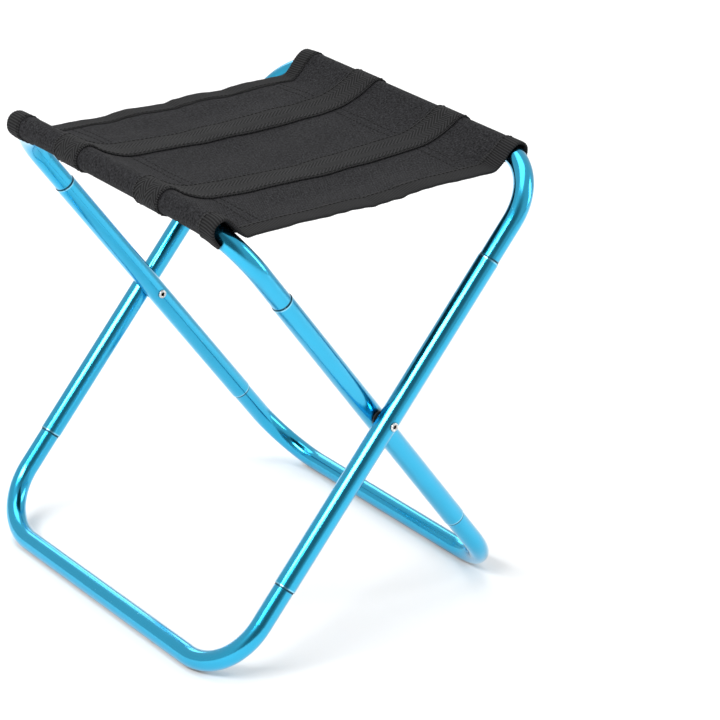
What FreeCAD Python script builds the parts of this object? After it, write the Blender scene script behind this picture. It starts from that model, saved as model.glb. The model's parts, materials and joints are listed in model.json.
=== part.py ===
import FreeCAD, Part
import math
import os

import Sketcher
from FreeCAD import Placement, Rotation, Vector

# Folding X stool: two tube frames riveted together where their legs cross, and a cloth seat sewn
# round the two top bars. Millimetres, +Z up, origin on the floor under the middle of the stool.
# Both bars run along Y. The outer frame's top bar is on the +X side, the inner frame's on the -X side.

DIMENSIONS = (
    ("stool_height", 271.4, "floor to the top of the straps over the bars"),
    ("bar_spread", 208.0, "top bar to top bar, and foot bar to foot bar, between centres"),
    ("frame_width", 231.0, "outer frame, leg centre to leg centre"),
    ("leg_od", 12.5, "leg tube, outside"),
    ("bend_od", 11.7, "bent tube, outside"),
    ("tube_wall", 1.0, "wall of every tube"),
    ("bend_radius", 36.0, "centre line of each corner"),
    ("bend_reach", 60.0, "bar centre to the end of the leg tube, along the leg"),
    ("neck_length", 24.0, "swaged end of a bent tube, inside the leg"),
    ("neck_root", 2.0, "length over which the swaged end runs into the full tube"),
    ("lip_radius", 0.35, "rounding of a leg tube's ends"),
    ("washer_thickness", 0.5, "pivot washer"),
    ("washer_od", 9.0, "pivot washer, outside"),
    ("pivot_play", 0.05, "side play on each side of an inner leg"),
    ("shank_od", 3.6, "hollow rivet, body"),
    ("shank_play", 0.05, "radial running clearance in the inner leg"),
    ("rivet_bore", 2.2, "hole through the rivet"),
    ("rivet_head_od", 5.0, "rolled head of the rivet"),
    ("rivet_rim", 0.25, "straight rim under each rolled head"),
    ("sleeve_gap", 0.45, "between a bar and the cloth round it"),
    ("mouth_gap", 0.4, "between a bent tube and the cloth where it leaves a sleeve"),
    ("cloth_thickness", 0.8, "seat cloth"),
    ("cloth_width", 192.0, "seat cloth along the bars"),
    ("sleeve_depth", 28.0, "bar centre to the sleeve's seam"),
    ("seam_drop", 5.0, "seam below the centre of the bar"),
    ("panel_sag", 2.6, "middle of the seat below the seams"),
    ("strap_thickness", 1.0, "webbing strap"),
    ("strap_width", 22.0, "webbing strap"),
    ("strap_spacing", 75.0, "strap centre to strap centre"),
    ("binding_thickness", 0.9, "grosgrain tape round the cloth's edge"),
    ("binding_width", 12.0, "tape on each face of the cloth"),
)

# Sizes that follow from the driving ones, as expressions on the sheet.
TOP_BAR_Z = (
    "(Dims.stool_height - Dims.strap_thickness - Dims.cloth_thickness"
    " - Dims.sleeve_gap - Dims.bend_od / 2)"
)
FOOT_BAR_Z = "(Dims.bend_od / 2)"
PIVOT_Z = f"(({TOP_BAR_Z} + {FOOT_BAR_Z}) / 2)"
HALF_RISE = f"(({TOP_BAR_Z} - {FOOT_BAR_Z}) / 2)"
HALF_SPREAD = "(Dims.bar_spread / 2)"
HALF_LENGTH = f"sqrt({HALF_RISE} ^ 2 + {HALF_SPREAD} ^ 2)"
LEAN = f"atan({HALF_SPREAD} / {HALF_RISE})"
LEG_END = f"({HALF_LENGTH} - Dims.bend_reach)"

NECK_OD = "(Dims.leg_od - 2 * Dims.tube_wall)"
NECK_ID = "(Dims.leg_od - 4 * Dims.tube_wall)"
NECK_TOP = f"({LEG_END} + Dims.neck_root)"
SHOULDER = f"abs(Dims.bend_od - {NECK_OD}) / 2"

OUTER_WIDTH = "Dims.frame_width"
INNER_WIDTH = (
    "(Dims.frame_width - 2 * (Dims.leg_od + Dims.washer_thickness + Dims.pivot_play))"
)
OUTER_CREST = f"({OUTER_WIDTH} / 2 + Dims.leg_od / 2)"
INNER_CREST = f"({INNER_WIDTH} / 2 - Dims.leg_od / 2 - Dims.pivot_play)"
WASHER_FACE = f"({OUTER_WIDTH} / 2 - Dims.leg_od / 2 - Dims.washer_thickness)"

SLEEVE_RADIUS = "(Dims.bend_od / 2 + Dims.sleeve_gap)"
SEAM_X = f"({HALF_SPREAD} - Dims.sleeve_depth)"
SEAM_Z = f"({TOP_BAR_Z} - Dims.seam_drop)"
CLOTH_FACE = "Dims.cloth_thickness"
STRAP_FACE = "(Dims.cloth_thickness + Dims.strap_thickness)"
BINDING_FACE = "(Dims.cloth_thickness + Dims.binding_thickness)"

ORIGIN = (-1, 1)
ACROSS = -1
UPWARDS = -2
START = 1
END = 2
CENTRE = 3


def make_sheet(doc):
    """The driving dimensions, one to a row: the number, its alias and what it is."""
    sheet = doc.addObject("Spreadsheet::Sheet", "Dims")
    for row, (alias, number, note) in enumerate(DIMENSIONS, start=1):
        sheet.set(f"A{row}", str(number))
        sheet.setAlias(f"A{row}", alias)
        sheet.set(f"B{row}", note)
    doc.recompute()
    return sheet


def value(expression):
    """The number that an expression on the sheet gives now."""
    found = doc.Dims.evalExpression(expression)
    return float(getattr(found, "Value", found))


def new_body(label):
    body = doc.addObject("PartDesign::Body", label)
    body.Label = label
    return body


def lean_body(body, angle):
    """Turns a body about the pivot's axis and lifts it to the pivot's height."""
    body.Placement = Placement(Vector(0, 0, 1), Rotation(Vector(0, 1, 0), 10))
    body.setExpression(".Placement.Base.z", PIVOT_Z)
    body.setExpression(".Placement.Rotation.Angle", angle)


def new_sketch(body, name, role, height=None):
    """A sketch on one of the body's own planes, or at a height above it."""
    plane = next(f for f in body.Origin.OriginFeatures if f.Role == role)
    sketch = body.newObject("Sketcher::SketchObject", name)
    sketch.AttachmentSupport = [(plane, "")]
    sketch.MapMode = "FlatFace"
    if height:
        sketch.setExpression(".AttachmentOffset.Base.z", height)
    return sketch


def tie(sketch, *pairs):
    """Joins the ends of two pieces of outline, point to point."""
    for first, second in pairs:
        sketch.addConstraint(Sketcher.Constraint("Coincident", *first, *second))


def blend(sketch, *pairs):
    """Joins the ends of two pieces of outline so that one runs smoothly into the other."""
    for first, second in pairs:
        sketch.addConstraint(Sketcher.Constraint("Tangent", *first, *second))


def drive(sketch, name, kind, where, expression):
    """A constraint whose size comes from the sheet."""
    constraint = Sketcher.Constraint(kind, *where, value(expression))
    sketch.renameConstraint(sketch.addConstraint(constraint), name)
    sketch.setExpression(f"Constraints.{name}", expression)


def add_line(sketch, start, end):
    return sketch.addGeometry(Part.LineSegment(Vector(*start, 0), Vector(*end, 0)))


def add_arc(sketch, centre, radius, first, last):
    """An arc that runs anticlockwise from one angle, in degrees, to another."""
    circle = Part.Circle(Vector(*centre, 0), Vector(0, 0, 1), radius)
    arc = Part.ArcOfCircle(circle, math.radians(first), math.radians(last))
    return sketch.addGeometry(arc)


def add_ring(sketch, name, centre_y, *diameters):
    """Circles round one centre on the upwards axis, each diameter from the sheet."""
    first = None
    for number, diameter in enumerate(diameters):
        circle = Part.Circle(Vector(0, value(centre_y), 0), Vector(0, 0, 1), value(diameter) / 2)
        index = sketch.addGeometry(circle)
        drive(sketch, f"{name}_{number}", "Diameter", (index,), diameter)
        if first is None:
            first = index
            sketch.addConstraint(
                Sketcher.Constraint("PointOnObject", index, CENTRE, UPWARDS)
            )
            drive(sketch, f"{name}_y", "DistanceY", (*ORIGIN, index, CENTRE), centre_y)
        else:
            tie(sketch, ((first, CENTRE), (index, CENTRE)))


def add_pad(body, sketch, length, reverse=False, both_ways=False, cut=False):
    """A pad, or a pocket, of one sketch."""
    kind = "PartDesign::Pocket" if cut else "PartDesign::Pad"
    feature = body.newObject(kind, f"{sketch.Name}_{'cut' if cut else 'pad'}")
    feature.Profile = sketch
    feature.Reversed = reverse
    feature.Midplane = both_ways
    feature.setExpression("Length", length)
    doc.recompute()
    return feature


def round_edges(body, radius, wanted):
    """Rounds the edges of the body's shape that wanted picks."""
    base = body.Tip
    names = [f"Edge{i}" for i, edge in enumerate(base.Shape.Edges, start=1) if wanted(edge)]
    if not names:
        raise RuntimeError(f"{body.Label}: no edge to round")
    fillet = body.newObject("PartDesign::Fillet", f"{body.Name}_round")
    fillet.Base = (base, names)
    fillet.setExpression("Radius", radius)
    doc.recompute()


def is_end_circle(edge, radius, height):
    """Whether an edge is a whole circle of this radius that far above or below the pivot."""
    if not isinstance(edge.Curve, Part.Circle) or not edge.isClosed():
        return False
    return (
        abs(edge.Curve.Radius - radius) < 1e-4
        and abs(abs(edge.Curve.Center.z) - height) < 1e-4
    )


# ---- frames ------------------------------------------------------------------------------------


def bend_path(body, width):
    """The centre line of a bent tube: up one leg, along the bar and down the other leg."""
    sketch = new_sketch(body, f"{body.Name}_path", "YZ_Plane")
    side = value(width) / 2
    top = value(HALF_LENGTH)
    radius = value("Dims.bend_radius")
    foot = value(LEG_END)
    corner = top - radius
    left_leg = add_line(sketch, (-side, foot), (-side, corner))
    left_corner = add_arc(sketch, (radius - side, corner), radius, 90, 180)
    bar = add_line(sketch, (radius - side, top), (side - radius, top))
    right_corner = add_arc(sketch, (side - radius, corner), radius, 0, 90)
    right_leg = add_line(sketch, (side, corner), (side, foot))
    sketch.addConstraint(Sketcher.Constraint("Vertical", left_leg))
    sketch.addConstraint(Sketcher.Constraint("Vertical", right_leg))
    sketch.addConstraint(Sketcher.Constraint("Horizontal", bar))
    blend(
        sketch,
        ((left_leg, END), (left_corner, END)),
        ((left_corner, START), (bar, START)),
        ((bar, END), (right_corner, END)),
        ((right_corner, START), (right_leg, START)),
    )
    sketch.addConstraint(Sketcher.Constraint("Equal", left_corner, right_corner))
    sketch.addConstraint(
        Sketcher.Constraint("Symmetric", left_leg, START, right_leg, END, UPWARDS)
    )
    drive(sketch, "corner_radius", "Radius", (left_corner,), "Dims.bend_radius")
    drive(sketch, "leg_spacing", "DistanceX", (left_leg, START, right_leg, END), width)
    drive(sketch, "bar_height", "DistanceY", (*ORIGIN, bar, START), HALF_LENGTH)
    drive(sketch, "reach", "DistanceY", (left_leg, START, bar, START), "Dims.bend_reach")
    return sketch


def sweep_bend(body, width, *diameters):
    """Sweeps a tube, or a solid bar where only one diameter is given, along the bent line."""
    path = bend_path(body, width)
    section = new_sketch(body, f"{body.Name}_section", "XY_Plane", LEG_END)
    add_ring(section, "tube", f"(-{width} / 2)", *diameters)
    doc.recompute()
    pipe = body.newObject("PartDesign::AdditivePipe", f"{body.Name}_sweep")
    pipe.Profile = section
    pipe.Spine = (path, [f"Edge{i}" for i in range(1, 6)])
    doc.recompute()


def round_shoulders(body):
    """Rounds the step where a bent tube meets its necks: on the tube where that is the wider of
    the two, and on the necks where they are."""
    tube = value("Dims.bend_od") / 2
    neck = value(NECK_OD) / 2
    radius, height = (tube, value(LEG_END)) if tube > neck else (neck, value(NECK_TOP))
    limit = f"min(Dims.lip_radius; 0.6 * {SHOULDER})"
    round_edges(body, limit, lambda edge: is_end_circle(edge, radius, height))


def make_bend(label, width, angle):
    """A bent tube with a swaged neck at each end, which goes into a leg tube."""
    body = new_body(label)
    sweep_bend(body, width, "Dims.bend_od", "(Dims.bend_od - 2 * Dims.tube_wall)")
    necks = new_sketch(body, f"{label}_necks", "XY_Plane", NECK_TOP)
    add_ring(necks, "near", f"(-{width} / 2)", NECK_OD, NECK_ID)
    add_ring(necks, "far", f"({width} / 2)", NECK_OD, NECK_ID)
    add_pad(body, necks, "Dims.neck_length + Dims.neck_root", reverse=True)
    round_shoulders(body)
    lean_body(body, angle)
    return body


def make_leg(label, side_y, hole, angle):
    """A straight leg tube with the rivet's hole through its middle."""
    body = new_body(label)
    ring = new_sketch(body, f"{label}_ring", "XY_Plane")
    add_ring(ring, "tube", side_y, "Dims.leg_od", "(Dims.leg_od - 2 * Dims.tube_wall)")
    add_pad(body, ring, f"2 * {LEG_END}", both_ways=True)
    outside = value("Dims.leg_od") / 2
    height = value(LEG_END)
    round_edges(
        body, "Dims.lip_radius", lambda edge: is_end_circle(edge, outside, height)
    )
    drill = new_sketch(body, f"{label}_hole", "XZ_Plane")
    circle = drill.addGeometry(Part.Circle(Vector(0, 0, 0), Vector(0, 0, 1), value(hole) / 2))
    tie(drill, (ORIGIN, (circle, CENTRE)))
    drive(drill, "hole", "Diameter", (circle,), hole)
    add_pad(body, drill, "2 * Dims.frame_width", both_ways=True, cut=True)
    lean_body(body, angle)
    return body


def make_frame(name, width, angle, hole):
    """One frame: two bent tubes and the two legs between them."""
    return [
        make_bend(f"{name}_top_bend", width, angle),
        make_bend(f"{name}_foot_bend", width, f"{angle} + 180 deg"),
        make_leg(f"{name}_leg_near", f"(-{width} / 2)", hole, angle),
        make_leg(f"{name}_leg_far", f"({width} / 2)", hole, angle),
    ]


# ---- pivots ------------------------------------------------------------------------------------


def rivet_profile(body):
    """Half the section of a hollow rivet with both ends rolled over, along its axis."""
    sketch = new_sketch(body, f"{body.Name}_profile", "YZ_Plane")
    outer = -value(OUTER_CREST)
    inner = -value(INNER_CREST)
    rim = value("Dims.rivet_rim")
    bore = value("Dims.rivet_bore") / 2
    shank = value("Dims.shank_od") / 2
    head = value("Dims.rivet_head_od") / 2
    roll = (head - bore) / 2
    hole = add_line(sketch, (outer - rim, bore), (inner + rim, bore))
    inner_roll = add_arc(sketch, (inner + rim, bore + roll), roll, -90, 90)
    inner_rim = add_line(sketch, (inner + rim, head), (inner, head))
    inner_seat = add_line(sketch, (inner, head), (inner, shank))
    body_line = add_line(sketch, (inner, shank), (outer, shank))
    outer_seat = add_line(sketch, (outer, shank), (outer, head))
    outer_rim = add_line(sketch, (outer, head), (outer - rim, head))
    outer_roll = add_arc(sketch, (outer - rim, bore + roll), roll, 90, 270)
    blend(
        sketch,
        ((hole, END), (inner_roll, START)),
        ((inner_roll, END), (inner_rim, START)),
        ((outer_rim, END), (outer_roll, START)),
        ((outer_roll, END), (hole, START)),
    )
    tie(
        sketch,
        ((inner_rim, END), (inner_seat, START)),
        ((inner_seat, END), (body_line, START)),
        ((body_line, END), (outer_seat, START)),
        ((outer_seat, END), (outer_rim, START)),
    )
    for line in (inner_rim, body_line, outer_rim):
        sketch.addConstraint(Sketcher.Constraint("Horizontal", line))
    for line in (inner_seat, outer_seat):
        sketch.addConstraint(Sketcher.Constraint("Vertical", line))
    drive(sketch, "bore", "DistanceY", (*ORIGIN, hole, START), "Dims.rivet_bore / 2")
    drive(sketch, "shank", "DistanceY", (*ORIGIN, body_line, START), "Dims.shank_od / 2")
    drive(sketch, "head", "DistanceY", (*ORIGIN, inner_rim, END), "Dims.rivet_head_od / 2")
    sketch.addConstraint(Sketcher.Constraint("Equal", inner_rim, outer_rim))
    drive(sketch, "rim", "DistanceX", (inner_rim, END, inner_rim, START), "Dims.rivet_rim")
    drive(sketch, "inner_face", "DistanceX", (inner_seat, START, *ORIGIN), INNER_CREST)
    drive(sketch, "outer_face", "DistanceX", (outer_seat, START, *ORIGIN), OUTER_CREST)
    sketch.addConstraint(
        Sketcher.Constraint("Horizontal", inner_rim, START, outer_rim, START)
    )
    return sketch


def make_rivet(label, turn):
    body = new_body(label)
    profile = rivet_profile(body)
    doc.recompute()
    rivet = body.newObject("PartDesign::Revolution", f"{label}_turned")
    rivet.Profile = profile
    rivet.ReferenceAxis = (profile, ["H_Axis"])
    rivet.Angle = 360
    doc.recompute()
    body.Placement = Placement(Vector(0, 0, 1), Rotation(Vector(0, 0, 1), turn))
    body.setExpression(".Placement.Base.z", PIVOT_Z)
    return body


def make_washer(label, turn):
    body = new_body(label)
    ring = new_sketch(body, f"{label}_ring", "XZ_Plane", WASHER_FACE)
    add_ring(ring, "washer", "0", "Dims.washer_od", "Dims.shank_od")
    add_pad(body, ring, "Dims.washer_thickness")
    body.Placement = Placement(Vector(0, 0, 1), Rotation(Vector(0, 0, 1), turn))
    body.setExpression(".Placement.Base.z", PIVOT_Z)
    return body


# ---- seat --------------------------------------------------------------------------------------


def tangent_angle(point, centre, radius, side):
    """Where, in degrees round a circle, a line from a point outside touches it."""
    towards = math.atan2(point[1] - centre[1], point[0] - centre[0]) % math.tau
    reach = math.dist(point, centre)
    return math.degrees(towards + side * math.acos(radius / reach))


def add_run(sketch, name, offset):
    """The seat's line at one distance out from the sleeves' inner faces: from the right sleeve's
    seam round under its bar, over it, across the seat and round the left bar to its seam."""
    bar = (value(HALF_SPREAD), value(TOP_BAR_Z))
    radius = value(f"{SLEEVE_RADIUS} + {offset}")
    seam_x = value(SEAM_X)
    over = value(f"{SEAM_Z} + {offset}")
    under = value(f"{SEAM_Z} - {offset}")
    sag = value("Dims.panel_sag")
    low = tangent_angle((seam_x, under), bar, radius, 1) - 360
    high = tangent_angle((seam_x, over), bar, radius, -1)

    def on_bar(angle, side):
        turned = math.radians(angle)
        return side * (bar[0] + radius * math.cos(turned)), bar[1] + radius * math.sin(turned)

    panel_radius = (seam_x**2 + sag**2) / (2 * sag)
    half_angle = math.degrees(math.asin(seam_x / panel_radius))
    panel_centre = (0, over - sag + panel_radius)
    right_under = add_line(sketch, (seam_x, under), on_bar(low, 1))
    right_arc = add_arc(sketch, bar, radius, low, high)
    right_over = add_line(sketch, on_bar(high, 1), (seam_x, over))
    panel = add_arc(sketch, panel_centre, panel_radius, 270 - half_angle, 270 + half_angle)
    left_over = add_line(sketch, (-seam_x, over), on_bar(high, -1))
    left_arc = add_arc(sketch, (-bar[0], bar[1]), radius, 180 - high, 180 - low)
    left_under = add_line(sketch, on_bar(low, -1), (-seam_x, under))
    blend(
        sketch,
        ((right_under, END), (right_arc, START)),
        ((right_arc, END), (right_over, START)),
        ((left_over, END), (left_arc, START)),
        ((left_arc, END), (left_under, START)),
    )
    tie(
        sketch,
        ((right_over, END), (panel, END)),
        ((panel, START), (left_over, START)),
    )
    for mirrored in (
        (right_arc, CENTRE, left_arc, CENTRE),
        (right_over, END, left_over, START),
        (right_under, START, left_under, END),
    ):
        sketch.addConstraint(Sketcher.Constraint("Symmetric", *mirrored, UPWARDS))
    sketch.addConstraint(Sketcher.Constraint("Equal", right_arc, left_arc))
    drive(sketch, f"{name}_bar_x", "DistanceX", (*ORIGIN, right_arc, CENTRE), HALF_SPREAD)
    drive(sketch, f"{name}_bar_z", "DistanceY", (*ORIGIN, right_arc, CENTRE), TOP_BAR_Z)
    drive(sketch, f"{name}_wrap", "Radius", (right_arc,), f"{SLEEVE_RADIUS} + {offset}")
    drive(sketch, f"{name}_over_x", "DistanceX", (*ORIGIN, right_over, END), SEAM_X)
    drive(
        sketch, f"{name}_over_z", "DistanceY", (*ORIGIN, right_over, END), f"{SEAM_Z} + {offset}"
    )
    drive(sketch, f"{name}_under_x", "DistanceX", (*ORIGIN, right_under, START), SEAM_X)
    drive(
        sketch,
        f"{name}_under_z",
        "DistanceY",
        (*ORIGIN, right_under, START),
        f"{SEAM_Z} - {offset}",
    )
    drive(
        sketch,
        f"{name}_panel",
        "Radius",
        (panel,),
        f"({SEAM_X} ^ 2 + Dims.panel_sag ^ 2) / (2 * Dims.panel_sag)",
    )
    return right_under, left_under


def add_underside(sketch, ends):
    """The seat's lower face between the two seams, which closes a run."""
    right_under, left_under = ends
    seam_x = value(SEAM_X)
    sag = value("Dims.panel_sag - Dims.cloth_thickness")
    radius = (seam_x**2 + sag**2) / (2 * sag)
    half_angle = math.degrees(math.asin(seam_x / radius))
    seam_z = sketch.getPoint(right_under, START).y
    arc = add_arc(sketch, (0, seam_z - sag + radius), radius, 270 - half_angle, 270 + half_angle)
    tie(sketch, ((arc, END), (right_under, START)), ((arc, START), (left_under, END)))
    drive(
        sketch,
        "underside",
        "Radius",
        (arc,),
        f"({SEAM_X} ^ 2 + (Dims.panel_sag - Dims.cloth_thickness) ^ 2)"
        " / (2 * (Dims.panel_sag - Dims.cloth_thickness))",
    )


def add_sleeve_holes(sketch):
    """The space inside each sleeve: a drop shape round the bar, closed at the seam."""
    bar = (value(HALF_SPREAD), value(TOP_BAR_Z))
    seam = (value(SEAM_X), value(SEAM_Z))
    radius = value(SLEEVE_RADIUS)
    low = tangent_angle(seam, bar, radius, 1) - 360
    high = tangent_angle(seam, bar, radius, -1)
    for name, side in (("right", 1), ("left", -1)):
        ends = []
        for angle in (low, high):
            turned = math.radians(angle)
            along = bar[0] + radius * math.cos(turned)
            ends.append((side * along, bar[1] + radius * math.sin(turned)))
        tip = (side * seam[0], seam[1])
        first, last = (low, high) if side > 0 else (180 - high, 180 - low)
        arc = add_arc(sketch, (side * bar[0], bar[1]), radius, first, last)
        under = add_line(sketch, tip, ends[0])
        over = add_line(sketch, ends[1], tip)
        arc_low, arc_high = (START, END) if side > 0 else (END, START)
        blend(sketch, ((under, END), (arc, arc_low)), ((arc, arc_high), (over, START)))
        tie(sketch, ((over, END), (under, START)))
        centre = (*ORIGIN, arc, CENTRE) if side > 0 else (arc, CENTRE, *ORIGIN)
        corner = (*ORIGIN, under, START) if side > 0 else (under, START, *ORIGIN)
        drive(sketch, f"{name}_hole_x", "DistanceX", centre, HALF_SPREAD)
        drive(sketch, f"{name}_hole_z", "DistanceY", (*ORIGIN, arc, CENTRE), TOP_BAR_Z)
        drive(sketch, f"{name}_hole", "Radius", (arc,), SLEEVE_RADIUS)
        drive(sketch, f"{name}_tip_x", "DistanceX", corner, SEAM_X)
        drive(sketch, f"{name}_tip_z", "DistanceY", (*ORIGIN, under, START), SEAM_Z)


def seat_section(body, name, offset, height, holes):
    """A closed section of the seat, with its faces at one distance from the sleeves."""
    sketch = new_sketch(body, name, "XZ_Plane", height)
    add_underside(sketch, add_run(sketch, "run", offset))
    if holes:
        add_sleeve_holes(sketch)
    doc.recompute()
    return sketch


def make_bar_room():
    """The space that both bent top tubes take inside the sleeves, with a gap round them."""
    rooms = []
    for name, width, angle in (
        ("outer_bar_room", OUTER_WIDTH, LEAN),
        ("inner_bar_room", INNER_WIDTH, f"-{LEAN}"),
    ):
        body = new_body(name)
        sweep_bend(body, width, "(Dims.bend_od + 2 * Dims.mouth_gap)")
        lean_body(body, angle)
        rooms.append(body)
    both = doc.addObject("Part::MultiFuse", "bar_room")
    both.Shapes = rooms
    doc.recompute()
    return both


def clear_bars(body, label, room):
    """Opens a sewn piece where the bent tubes leave the sleeves."""
    body.Label = f"{label}_uncut"
    cut = doc.addObject("Part::Cut", label)
    cut.Base = body
    cut.Tool = room
    cut.Label = label
    doc.recompute()
    return cut


def make_cloth(room):
    body = new_body("seat_cloth_body")
    section = seat_section(body, "cloth_section", CLOTH_FACE, None, holes=True)
    add_pad(body, section, "Dims.cloth_width", both_ways=True)
    return clear_bars(body, "seat_cloth", room)


def make_binding(label, turn, room):
    """The tape folded over one edge of the cloth: a strip on each face and a cap on the edge."""
    body = new_body(f"{label}_body")
    edge = "(Dims.cloth_width / 2 + Dims.binding_thickness)"
    outside = seat_section(body, f"{label}_outside", BINDING_FACE, edge, holes=True)
    add_pad(body, outside, "Dims.binding_width + Dims.binding_thickness", reverse=True)
    before = body.Shape.Volume
    inside = seat_section(
        body, f"{label}_inside", CLOTH_FACE, "Dims.cloth_width / 2", holes=False
    )
    add_pad(body, inside, "Dims.binding_width", cut=True)
    if body.Shape.Volume > 0.9 * before:
        raise RuntimeError(f"{label}: the cloth's room was not cut")
    body.Placement = Placement(Vector(0, 0, 0), Rotation(Vector(0, 0, 1), turn))
    return clear_bars(body, label, room)


def make_strap(label, side_y):
    """A webbing strap across the seat and round both sleeves, back to their seams."""
    body = new_body(label)
    sketch = new_sketch(body, f"{label}_section", "XZ_Plane", side_y)
    outer = add_run(sketch, "outer", STRAP_FACE)
    inner = add_run(sketch, "inner", CLOTH_FACE)
    for (outer_line, inner_line), end in zip(zip(outer, inner), (START, END)):
        first = sketch.getPoint(outer_line, end)
        last = sketch.getPoint(inner_line, end)
        line = add_line(sketch, (first.x, first.y), (last.x, last.y))
        tie(sketch, ((line, START), (outer_line, end)), ((line, END), (inner_line, end)))
    doc.recompute()
    add_pad(body, sketch, "Dims.strap_width", both_ways=True)
    return body


# ---- the whole stool ---------------------------------------------------------------------------


def make_stool():
    hole = "Dims.shank_od"
    running_hole = "(Dims.shank_od + 2 * Dims.shank_play)"
    parts = make_frame("outer", OUTER_WIDTH, LEAN, hole)
    parts += make_frame("inner", INNER_WIDTH, f"-{LEAN}", running_hole)
    for name, turn in (("near", 0), ("far", 180)):
        parts.append(make_rivet(f"pivot_rivet_{name}", turn))
        parts.append(make_washer(f"pivot_washer_{name}", turn))
    room = make_bar_room()
    parts.append(make_cloth(room))
    for name, turn, side in (("near", 0, ""), ("far", 180, "-")):
        parts.append(make_strap(f"seat_strap_{name}", f"{side}Dims.strap_spacing / 2"))
        parts.append(make_binding(f"edge_binding_{name}", turn, room))
    return parts


def check(parts):
    """Stops before anything is written if a feature failed or a sub-part is not a sound solid."""
    for thing in doc.Objects:
        if {"Invalid", "Error"} & set(thing.State):
            raise RuntimeError(f"{thing.Label} is {thing.State}")
    for part in parts:
        shape = part.Shape
        if shape.isNull() or not shape.isValid() or not shape.Solids:
            raise RuntimeError(f"{part.Label} is not a valid solid")


doc = FreeCAD.newDocument("folding_stool")
make_sheet(doc)
stool_parts = make_stool()
doc.recompute()
check(stool_parts)

os.makedirs("parts", exist_ok=True)
for stool_part in stool_parts:
    stool_part.Shape.exportStep(f"parts/{stool_part.Label}.step")
    box = stool_part.Shape.BoundBox
    print(
        f"{stool_part.Label:20s} solids {len(stool_part.Shape.Solids)}"
        f" volume {stool_part.Shape.Volume:9.1f} mm3"
        f" x {box.XMin:7.2f} {box.XMax:7.2f}"
        f" y {box.YMin:7.2f} {box.YMax:7.2f}"
        f" z {box.ZMin:7.2f} {box.ZMax:7.2f}"
    )
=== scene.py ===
import json
import math

import bpy
import numpy as np
from bpy.props import FloatProperty, FloatVectorProperty, PointerProperty
from bpy.types import Operator, Panel, PropertyGroup
from mathutils import Matrix, Vector
from mathutils.geometry import convex_hull_2d


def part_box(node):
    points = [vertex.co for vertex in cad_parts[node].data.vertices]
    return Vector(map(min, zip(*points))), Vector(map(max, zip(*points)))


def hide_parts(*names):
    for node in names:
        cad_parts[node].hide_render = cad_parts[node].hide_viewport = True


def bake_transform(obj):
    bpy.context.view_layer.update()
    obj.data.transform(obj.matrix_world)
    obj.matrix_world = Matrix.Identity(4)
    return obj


bl_info = {
    "name": "Folding Stool",
    "version": (1, 0, 0),
    "blender": (4, 5, 0),
    "location": "3D View > Sidebar > Stool",
    "description": "Dresses a folding camp stool: blue tubes, a sewn cloth seat, straps and tape",
    "category": "Object",
}

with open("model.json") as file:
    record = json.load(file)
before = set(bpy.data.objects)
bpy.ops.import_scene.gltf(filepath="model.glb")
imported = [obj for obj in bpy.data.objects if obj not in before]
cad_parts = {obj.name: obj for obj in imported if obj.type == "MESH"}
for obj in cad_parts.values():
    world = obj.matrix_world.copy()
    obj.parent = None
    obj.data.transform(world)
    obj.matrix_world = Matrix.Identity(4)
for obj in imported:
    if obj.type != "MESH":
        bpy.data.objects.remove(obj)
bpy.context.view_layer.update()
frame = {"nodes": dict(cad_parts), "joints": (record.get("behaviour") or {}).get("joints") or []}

MM = 0.001

# Sizes of the frame in metres, read from its pieces where they show them.
TUBE_RADIUS = 0.00585
CORNER_RADIUS = 0.036
BEND_REACH = 0.060
PIVOT_Z = frame["joints"][0]["pos_m"][2]
BAR_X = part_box("outer_top_bend")[1].x - TUBE_RADIUS
BAR_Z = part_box("outer_top_bend")[1].z - TUBE_RADIUS
OUTER_LEG_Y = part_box("outer_top_bend")[1].y - TUBE_RADIUS
INNER_LEG_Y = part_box("inner_top_bend")[1].y - TUBE_RADIUS
LEAN = math.atan2(BAR_X, BAR_Z - PIVOT_Z)
LEG_END = math.hypot(BAR_X, BAR_Z - PIVOT_Z) - BEND_REACH

# Sizes of the sewn seat in metres. SKEW is how far it lies askew along each bar, and TRIM how
# far the underside of a sleeve stops short of its top at the mouths.
STRAP_Y = (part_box("seat_strap_far")[0].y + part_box("seat_strap_far")[1].y) / 2
STRAP_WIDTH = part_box("seat_strap_far")[1].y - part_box("seat_strap_far")[0].y
CLOTH_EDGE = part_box("seat_cloth")[1].y
SLEEVE_DEPTH = 0.028
SEAM_DROP = 0.005
SEAM_X = BAR_X - SLEEVE_DEPTH
SEAM_Z = BAR_Z - SEAM_DROP
HEM = 0.008
SKEW = 0.0035
TRIM = 0.012
TRIM_SPAN = (60 * MM, 97 * MM)

OUTER_TUBES = [n for n in frame["nodes"] if n.startswith("outer_")]
INNER_TUBES = [n for n in frame["nodes"] if n.startswith("inner_")]
RIVET_NODES = [n for n in frame["nodes"] if n.startswith("pivot_rivet")]
WASHER_NODES = [n for n in frame["nodes"] if n.startswith("pivot_washer")]

# The seed of each set of wandering lines.
SEEDS = {
    "long_ripple": 5,
    "cross_ripple": 6,
    "strap": 20,
    "tape_edge": 30,
    "tape_width": 40,
    "seam": 50,
    "tape_stitch": 60,
}


# ---- settings ----------------------------------------------------------------------------------


def length(name, description, default):
    return FloatProperty(
        name=name, description=description, default=default, unit="LENGTH", precision=5
    )


def colour(name, description, default):
    return FloatVectorProperty(
        name=name, description=description, default=default, subtype="COLOR", size=3, min=0, max=1
    )


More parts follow.
